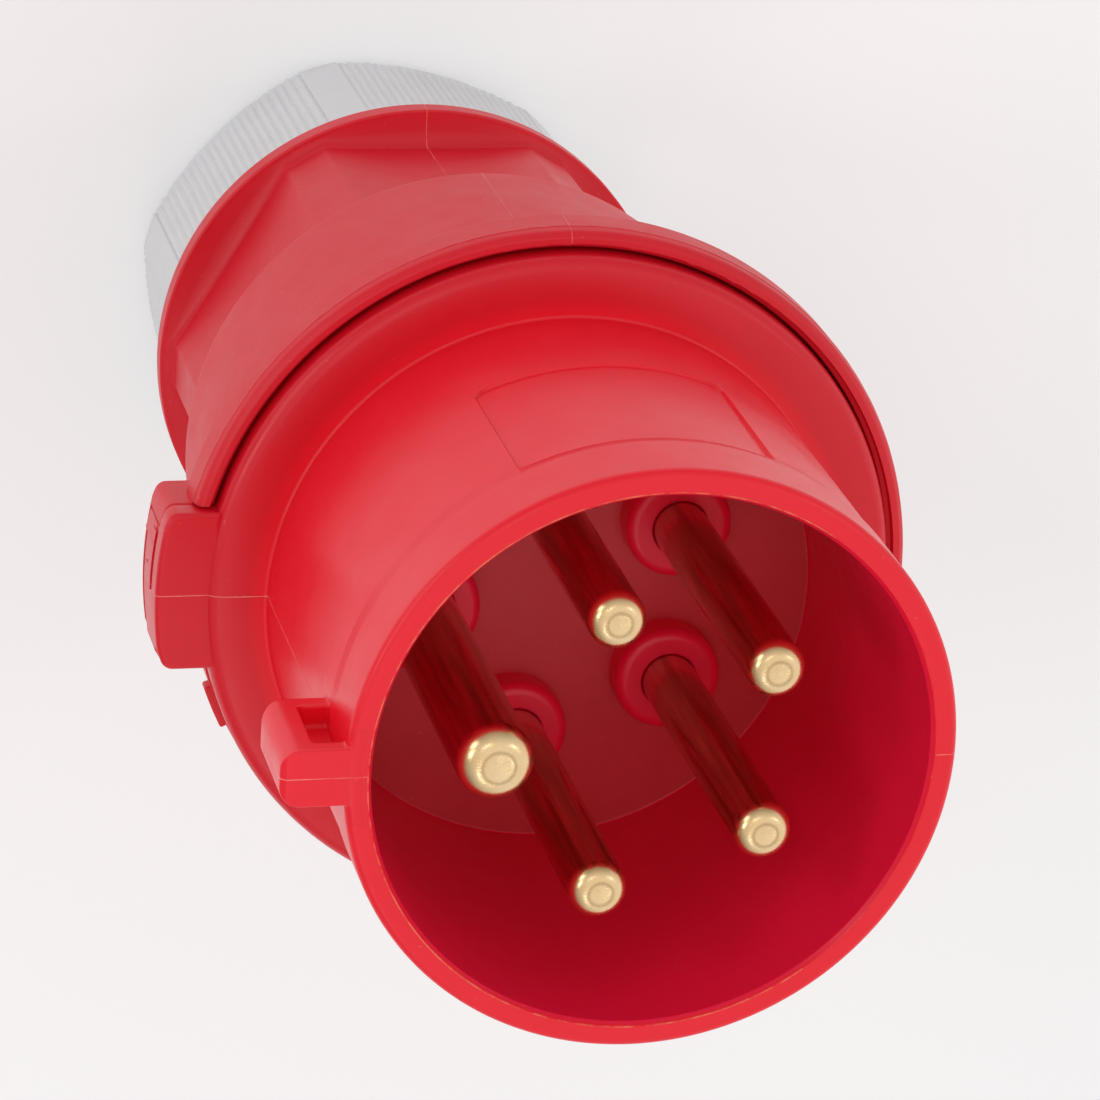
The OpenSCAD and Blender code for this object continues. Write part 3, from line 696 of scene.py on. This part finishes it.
def build_rear_shell():
    seam_off = [x * 0.9 for x in SEAM]
    corner = [-0.7, -0.3, -0.1, 0.1, 0.3, 0.7]
    A = angle_lines(1.25, [(90, seam_off), (-90, seam_off)] + [(60 * i + s * 5.03, corner) for i in range(6) for s in (-1, 1)])
    H = hex_r(A)
    rows = []

    def row(r, z, w=0.0):
        rows.append((r, z, w))
    front = rounded([(39.0, -47.9), (39.0, -47.4, 0.06), (39.75, -47.4, 0.35), (40.35, -48.0, 0.8), (40.52, -48.95)], step=12)
    for r, z in front:
        row(r, z)
    for r, z in ((40.575, -49.0), (40.585, -49.08), (40.54, -49.16)):
        row(r, z)
    for r, z in fill(rounded([(40.55, -49.3), (RR, -53.0, 0.5), (40.1, -54.0, 0.5), (38.2, -57.8, 1.5), (33.85, -66.0, 5.0),
                              (BR, -68.0, 4.0), (BR, -91.9, 0.9), (31.0, -91.9), (30.6, -91.9)], step=8), 2.0):
        row(r, z)
    for z in (-91.92, -92.1, -92.5, -94, -97, -100, -103, -106, -109, -112, -115, -117.5, -119.2, -119.9, -120.1):
        row(0.0, z, 1.0)
    for z, d in ((-120.2, -0.03), (-120.28, -0.14), (-120.36, -0.2)):
        row(d, z, 1.0)
    for t in np.linspace(0.1, 1.0, 9):
        # concave sweep from the flats out to the collar
        row(31.0 * (1 - math.sqrt(max(0.0, 1 - t * t))), -120.4 - 1.55 * t, 2.0 + (1 - math.sqrt(max(0.0, 1 - t * t))))
    for r, z in rounded([(31.0, -121.95), (CR, -121.98, 0.45), (CR, -125.6, 1.3), (25.4, -125.6, 0.2), (25.4, -141.5, 0.3), (21.4, -141.5, 0.1), (20.8, -140.9),
                         (20.8, -128.5), (17, -128.5), (17, -127), (24.2, -121), (24.2, -95.3), (30.6, -88.5), (30.6, -67.6), (34.6, -58.5),
                         (34.6, -55.5), (37.35, -55.5), (37.35, -54.1), (39.0, -53.8), (39.0, -51.05), (38.45, -50.9), (38.45, -48.45, 0.1), (38.95, -48.25, 0.1), (39.0, -48.15)], step=10)[1:]:
        row(r, z)
    n, m = len(rows), len(A)
    R, Z = np.zeros((n, m)), np.zeros((n, m))
    for i, (r, z, w) in enumerate(rows):
        Z[i] = z
        if w == 0.0:
            R[i] = r
        elif w == 1.0:
            R[i] = H + r
        else:
            f = w - 2.0
            R[i] = (H - 0.2) * (1 - f) + 31.0 * f
    AA = np.repeat(A[None, :], n, 0)
    outside = np.zeros((n, m), bool)
    last_out = next(i for i, (r, z, w) in enumerate(rows) if z <= -125.59)
    outside[:last_out] = True
    seam = np.exp(-(np.radians(np.abs(wrap(AA - 90))) * 33.0 / 0.06) ** 2) + np.exp(-(np.radians(np.abs(wrap(AA + 90))) * 33.0 / 0.06) ** 2)
    amp = 0.04 * (1 + 0.35 * np.cos(Z * 1.3))
    R = np.where(outside & (Z < -48.2) & (AA < 0), np.minimum(R + amp * seam, 40.635), R)
    R = np.where(outside & (Z < -60) & (AA > 0), R + amp * seam, R)
    # the rim's inner edge is a little ragged near the top
    w = np.exp(-(wrap(A + 98) / 34.0) ** 4)
    rag = band_noise(A, 11, range(30, 200, 5), 0.25) * 0.5 + band_noise(A, 12, range(60, 240, 7), 0.1) * 0.5
    rag = np.where(rag > 0.12, rag, 0.0) * w
    inner_edge = [i for i, (r, z, w_) in enumerate(rows) if abs(r - 39.0) < 0.12 and -47.62 < z]
    for i in inner_edge:
        R[i] = R[i] - 0.26 * rag
        Z[i] = Z[i] + 0.03 * rag
    line = [i for i, (r, z, w_) in enumerate(rows) if -49.17 < z < -48.99 and r > 40.5]
    wob = band_noise(A, 21, range(8, 140, 5), 0.4)
    for i in line:
        R[i] = R[i] + 0.018 * wob
    o = grid_mesh("rear_shell_body", R, Z, A, closed_profile=True)

    # the window in the rim beside the lock block
    boolean(o, sector("window", FR + 0.15, 47, -61, -40, 57, 90, 60), "DIFFERENCE")
    # lock block, rear tier
    blk = prism("block", lock_outline(36.4), -56.9, -49.3)
    blk.data.transform(Matrix.Diagonal((LOCK_R / (LOCK_R + 0.1), 1, 1, 1)))
    bevel_top(blk, 0.35, -49.3, 3)
    bevel_top(blk, 0.9, -56.9, 4)
    boolean(o, blk, "UNION")
    gap = box_mm("gap", 36, 46, LOCK_A - 0.3, LOCK_B + 0.3, -49.2, -45)
    boolean(o, gap, "DIFFERENCE")
    boolean(o, box_mm("channel", 41.6, 46, -7.45, 12, -55.6, -47), "DIFFERENCE")
    boolean(o, box_mm("channel2", 40.6, 42, -3.2, 7.2, -50.9, -46), "DIFFERENCE")

    def pick(c, nrm, area):
        return 0
    return place(o, "housing", "red_plastic", "rear_shell", mats=[M_RED_REAR, M_FLASH], pick=pick)


# -------------------------------------------------------------- gland nut
def build_nut():
    ribs, h, c, f = 22, 25.2, 30.0, 28.3
    k = c * math.cos(math.radians(h))
    lines = []
    per = 10
    for i in range(6):
        u = np.arange(ribs * per) / (ribs * per) * 2 * h - h
        lines += [15.8 + 60 * i + x for x in u]
        lines += [15.8 + 60 * i + x for x in (25.2, 25.35, 25.6, 26.2, 27.2, 28.5, 30.0, 31.5, 32.8, 33.8, 34.4, 34.65)]
    A = np.array(sorted({round(float(wrap(x)), 4) for x in lines}))
    U = wrap((A - 15.8 + 30.0) % 60.0 - 30.0)
    face = k / np.cos(np.radians(np.clip(U, -h, h))) + (f - k) * (1 - (np.clip(U, -h, h) / h) ** 2)
    t = (np.clip(U, -h, h) + h) / (2 * h) * ribs
    wave = 0.5 - 0.5 * np.cos(2 * np.pi * t)
    rib = np.where(np.abs(U) < h, 0.30 * (1 - np.power(wave, 0.62)), 0.0)
    base = np.where(np.abs(U) <= h, face, c)
    rows = []
    prof = [(0, -126.1), (1, -126.1), (2, -126.25), (3, -126.5), (4, -127.2), (5, -130), (6, -134), (7, -138), (8, -142), (9, -146), (10, -148.6),
            (11, -149.4)]
    inset = {0: 0.30, 1: 0.12, 2: 0.03, 3: 0.0}
    rib_gain = {0: 0.2, 1: 0.6, 2: 0.9}
    R, Z = [], []
    for i, z in prof:
        R.append(base - rib * rib_gain.get(i, 1.0) - inset.get(i, 0.0))
        Z.append(np.full_like(A, z))
    # rear edge: the ribs run out into a rounded shoulder
    for z, ring, fade in ((-149.9, 30.35, 1.0), (-150.6, 30.0, 0.9), (-151.3, 29.55, 0.7), (-151.9, 29.1, 0.45), (-152.5, 28.5, 0.2), (-153.0, 27.9, 0.05), (-153.35, 27.3, 0.0), (-153.5, 26.8, 0.0)):
        R.append(np.minimum(base, ring) - rib * fade)
        Z.append(np.full_like(A, z))
    ins = rounded([(25.0, -153.5), (20.0, -153.5, 0.0), (19.6, -153.3, 0.1), (13.9, -153.3, 0.2), (13.0, -152.9, 0.3), (13.0, -150.3, 0.1), (24.5, -150.3), (24.5, -147.6), (25.7, -146.5), (25.7, -127.2), (26.4, -126.2), (26.5, -126.1)], step=15)
    for r, z in ins:
        R.append(np.full_like(A, r))
        Z.append(np.full_like(A, z))
    R, Z = np.array(R), np.array(Z)
    o = grid_mesh("gland_nut_body", R, Z, A, closed_profile=True)
    return place(o, "nut", "grey_plastic", "gland_nut", mats=[M_GREY], smooth=38.0, weighted=False)


# ------------------------------------------------------------------- pins
def build_pin(name, a, r, pr, term, tip):
    e = pr * 0.60
    q = pr * 0.40
    top = [(0, tip - 0.15), (0.06, tip - 0.145), (0.14, tip - 0.125)]
    top += [(x, tip - 0.12 + 0.095 * (x / q) ** 1.6) for x in np.linspace(0.24, q * 0.90, 8)]
    top += [(q * 0.96, tip - 0.010), (q, tip - 0.002), (q * 1.06, tip)]
    top += [(q * 1.06 + (pr - q * 1.06) * math.sin(math.radians(t)), tip - e * (1 - math.cos(math.radians(t)))) for t in (12, 22, 32, 41, 49, 57, 64, 71, 78, 84, 90)]
    body = fill([(pr, tip - e - 0.3), (pr, -41.5)], 3.0)
    rest = rounded([(pr, -41.5), (pr - 0.25, -41.8), (pr - 0.25, -42.6), (pr + 0.1, -42.9), (pr + 0.1, -51.9), (term - 0.5, -51.9), (term, -52.4, 0.1),
                    (term, -67.1), (term - 0.4, -67.5), (term * 0.52, -67.5), (term * 0.52, -55.5), (0, -55.5)])
    o = lathe(name + "_pin_turned", top + body + rest[1:], 4.0, at=(0, 0))
    scr = cylinder("scr", 2.05, 0, term + 2, n=32)
    turned(scr, Matrix.Translation((0, 0, -59.5)) @ Matrix.Rotation(math.radians(90), 4, "Y"))
    boolean(o, scr, "DIFFERENCE")
    turned(o, Matrix.Rotation(math.radians(a), 4, "Z") @ Matrix.Translation((r, 0, 0)))
    cx, cy = pin_at(a, r)
    return place(o, "housing", "brass", name + "_pin", mats=[brass("brass_" + name, cx / 1000, cy / 1000, (tip + Z0) / 1000, 0.42 * pr / 1000)])


# ------------------------------------------------------------------ slide
def build_slide():
    y0, w = -7.2, 15.1
    r = LOCK_R - 0.05

    def x_at(y, rad=r):
        return math.sqrt(rad * rad - y * y)
    ys = np.linspace(y0, y0 + w - 1.6, 14)
    out = [(41.75, y0)] + [(x_at(y), y) for y in ys] + [(42.72, y0 + w - 0.8), (42.25, y0 + w), (41.75, y0 + w)]
    o = prism("locking_slide_moulding", out, -55.4, -49.5)
    bevel(o, 0.12, 2, 40)
    boolean(o, box_mm("tongue", 40.8, 42.0, -2.9, 2.9, -50.6, -47.2), "UNION")
    grip = prism("grip", [(42.0, y0 + 0.05), (42.72, y0 + 0.05), (43.27, y0 + 2.2), (42.0, y0 + 2.2)], -55.3, -50.4)
    bevel(grip, 0.1, 2, 40)
    boolean(o, grip, "UNION")
    # raised mark that shows which way it slides
    mark = [(y0 + 0.6, -51.7), (-2.2, -51.7), (-2.05, -53.3), (-0.6, -53.3), (0.05, -52.75), (0.05, -49.75), (y0 + 0.6, -49.75)]
    pm = prism("mark", [(y, z) for y, z in mark], 41.9, 44.5)
    turned(pm, Matrix(((0, 0, 1, 0), (1, 0, 0, 0), (0, 1, 0, 0), (0, 0, 0, 1))))
    clip = cylinder("clip", LOCK_R + 0.2, -60, -45, n=360)
    boolean(pm, clip, "INTERSECT")
    bevel(pm, 0.07, 2, 40)
    boolean(o, pm, "UNION")
    return place(o, "lock", "red_plastic", "locking_slide", mats=[M_RED], smooth=35.0)


build_front_shell()
build_key()
build_rear_shell()
build_nut()
for p in PINS:
    build_pin(*p)
build_slide()

# CAD nodes that stay as they are, with their finishes
keep = {"black_rubber": (M_RUBBER, ["housing_seal", "gland_seal"]), "dark": (M_DARK, ["contact_carrier"]), "cage": (M_CAGE, ["clamping_cage"]),
        "steel": (M_STEEL, ["slip_washer", "carrier_screws", "earth_terminal_screw", "l1_terminal_screw", "l2_terminal_screw", "l3_terminal_screw",
                            "neutral_terminal_screw"])}
for m, names in keep.values():
    for n_ in names:
        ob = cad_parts[n_]
        if not ob.material_slots:
            ob.data.materials.append(m)
        for s in ob.material_slots:
            s.material = m

# ------------------------------------------------------- floor and lights
floor = new_object("floor", [(-4, -4, 0), (4, -4, 0), (4, 4, 0), (-4, 4, 0)], [(0, 1, 2, 3)])
nf = Nodes("floor_white")
nf.link(nf.mix(nf.noise(3.0), (0.955, 0.955, 0.955, 1), (0.97, 0.97, 0.97, 1)), "Base Color")
nf.b.inputs["Roughness"].default_value = 0.9
nf.set(spec=0.1)
nf.b.inputs["Emission Color"].default_value = (1, 1, 1, 1)
nf.b.inputs["Emission Strength"].default_value = 0.08
floor.data.materials.append(nf.m)
floor.location.z = -0.0002

world = bpy.data.worlds.new("studio")
scene.world = world
world.use_nodes = True
world.node_tree.nodes["Background"].inputs["Color"].default_value = (1, 1, 1, 1)


def tent(k):
    """Light tent: brightness by direction. k: const, top, ring (round the horizon), and ring's left, right, back and front parts."""
    nt = world.node_tree
    d = nt.nodes.new("ShaderNodeTexCoord").outputs["Generated"]

    def dot(v):
        q = nt.nodes.new("ShaderNodeVectorMath")
        q.operation = "DOT_PRODUCT"
        nt.links.new(d, q.inputs[0])
        q.inputs[1].default_value = v
        return q.outputs["Value"]

    def m(op, x, y=0.0, clamp=False):
        q = nt.nodes.new("ShaderNodeMath")
        q.operation = op
        q.use_clamp = clamp
        for i, v in enumerate((x, y)):
            if isinstance(v, (int, float)):
                q.inputs[i].default_value = v
            else:
                nt.links.new(v, q.inputs[i])
        return q.outputs[0]
    up = dot((0, 0, 1))
    ring = m("SUBTRACT", 1.0, m("ABSOLUTE", up), True)
    total = m("ADD", k[2], 0.0)
    for w, v in zip(k[3:], ((0.85, -0.53, 0), (-0.85, 0.53, 0), (-0.53, -0.85, 0), (0.53, 0.85, 0))):
        total = m("ADD", total, m("MULTIPLY", m("MAXIMUM", dot(v), 0.0), w))
    total = m("ADD", m("MULTIPLY", total, ring), m("MULTIPLY", m("MAXIMUM", up, 0.0), k[1]))
    nt.links.new(m("ADD", total, k[0]), nt.nodes["Background"].inputs["Strength"])


TENT = (0.0, 0.94, 0.0, 0.12, 1.0, 0.25, 0.12)
tent(TENT)

TARGET = Vector((0.0, 0.0, 0.10))


def softbox(name, direction, dist, size, power, target=TARGET):
    d = Vector(direction).normalized()
    li = bpy.data.lights.new(name, "AREA")
    li.shape = "SQUARE"
    li.size = size
    li.energy = power
    o = bpy.data.objects.new(name, li)
    scene.collection.objects.link(o)
    o.location = target + d * dist
    o.rotation_mode = "QUATERNION"
    o.rotation_quaternion = (-d).to_track_quat("-Z", "Y")
    return o


# name, direction from the plug, distance, size, power
SOFTBOXES = [
    ("top_left", (0.8, -0.5, 0.35), 0.95, 0.28, 0.75),
    ("left", (0.78, -0.12, 0.5), 0.95, 0.22, 0.75),
    ("front", (0.23, -0.37, 0.90), 0.95, 0.12, 0.20),
    ("front_right", (-0.6, -0.2, 0.75), 0.95, 0.12, 0.20),
    ("front_below", (0.1, 0.5, 0.85), 0.95, 0.12, 0.20),
]
for row in SOFTBOXES:
    if row[4] > 0:
        softbox(*row)
